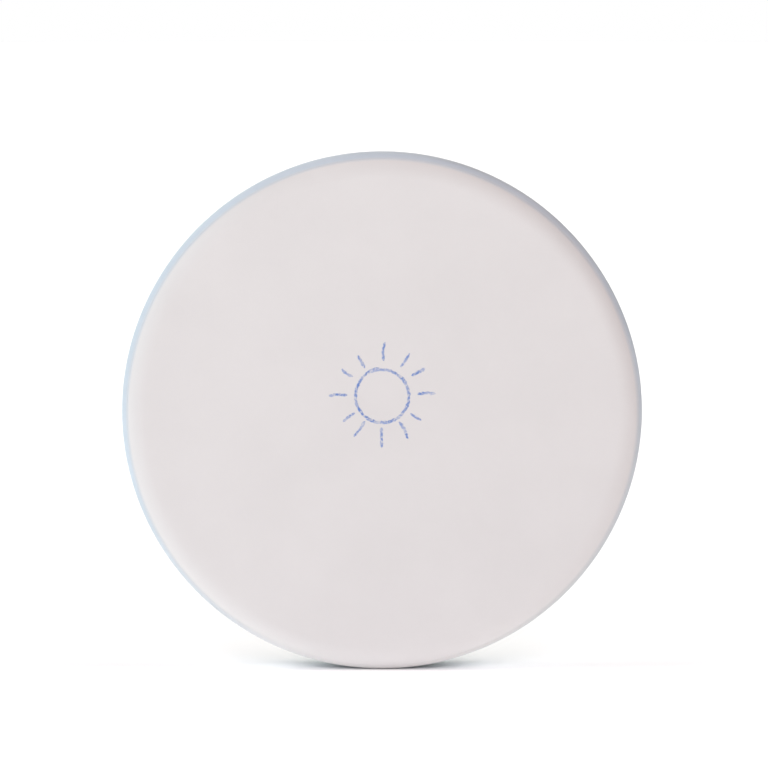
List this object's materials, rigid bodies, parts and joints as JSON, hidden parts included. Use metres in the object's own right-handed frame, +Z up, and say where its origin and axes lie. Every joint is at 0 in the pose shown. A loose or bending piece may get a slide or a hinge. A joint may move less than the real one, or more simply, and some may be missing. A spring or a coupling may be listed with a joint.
{
  "type": "flying disc",
  "caption": "Round throwing disc with a flat face, rolled shoulder, soft moulded grip rim and hollow underside, standing on its edge.",
  "frame": {"origin": "on the ground under the middle of the disc, which stands on its rim", "axes": "+Z up; Y is the disc's spin axis, with the printed face towards -Y and the open underside towards +Y; X runs across the disc"},
  "size_m": [0.2698, 0.0306, 0.2699],
  "materials": {
    "plate_plastic": "satin",
    "rim_rubber": "matte",
    "mark_ink": "matte"
  },
  "bodies": {
    "root": {"flight_plate": "plate_plastic", "grip_rim": "rim_rubber", "printed_mark": "mark_ink"}
  },
  "joints": []
}
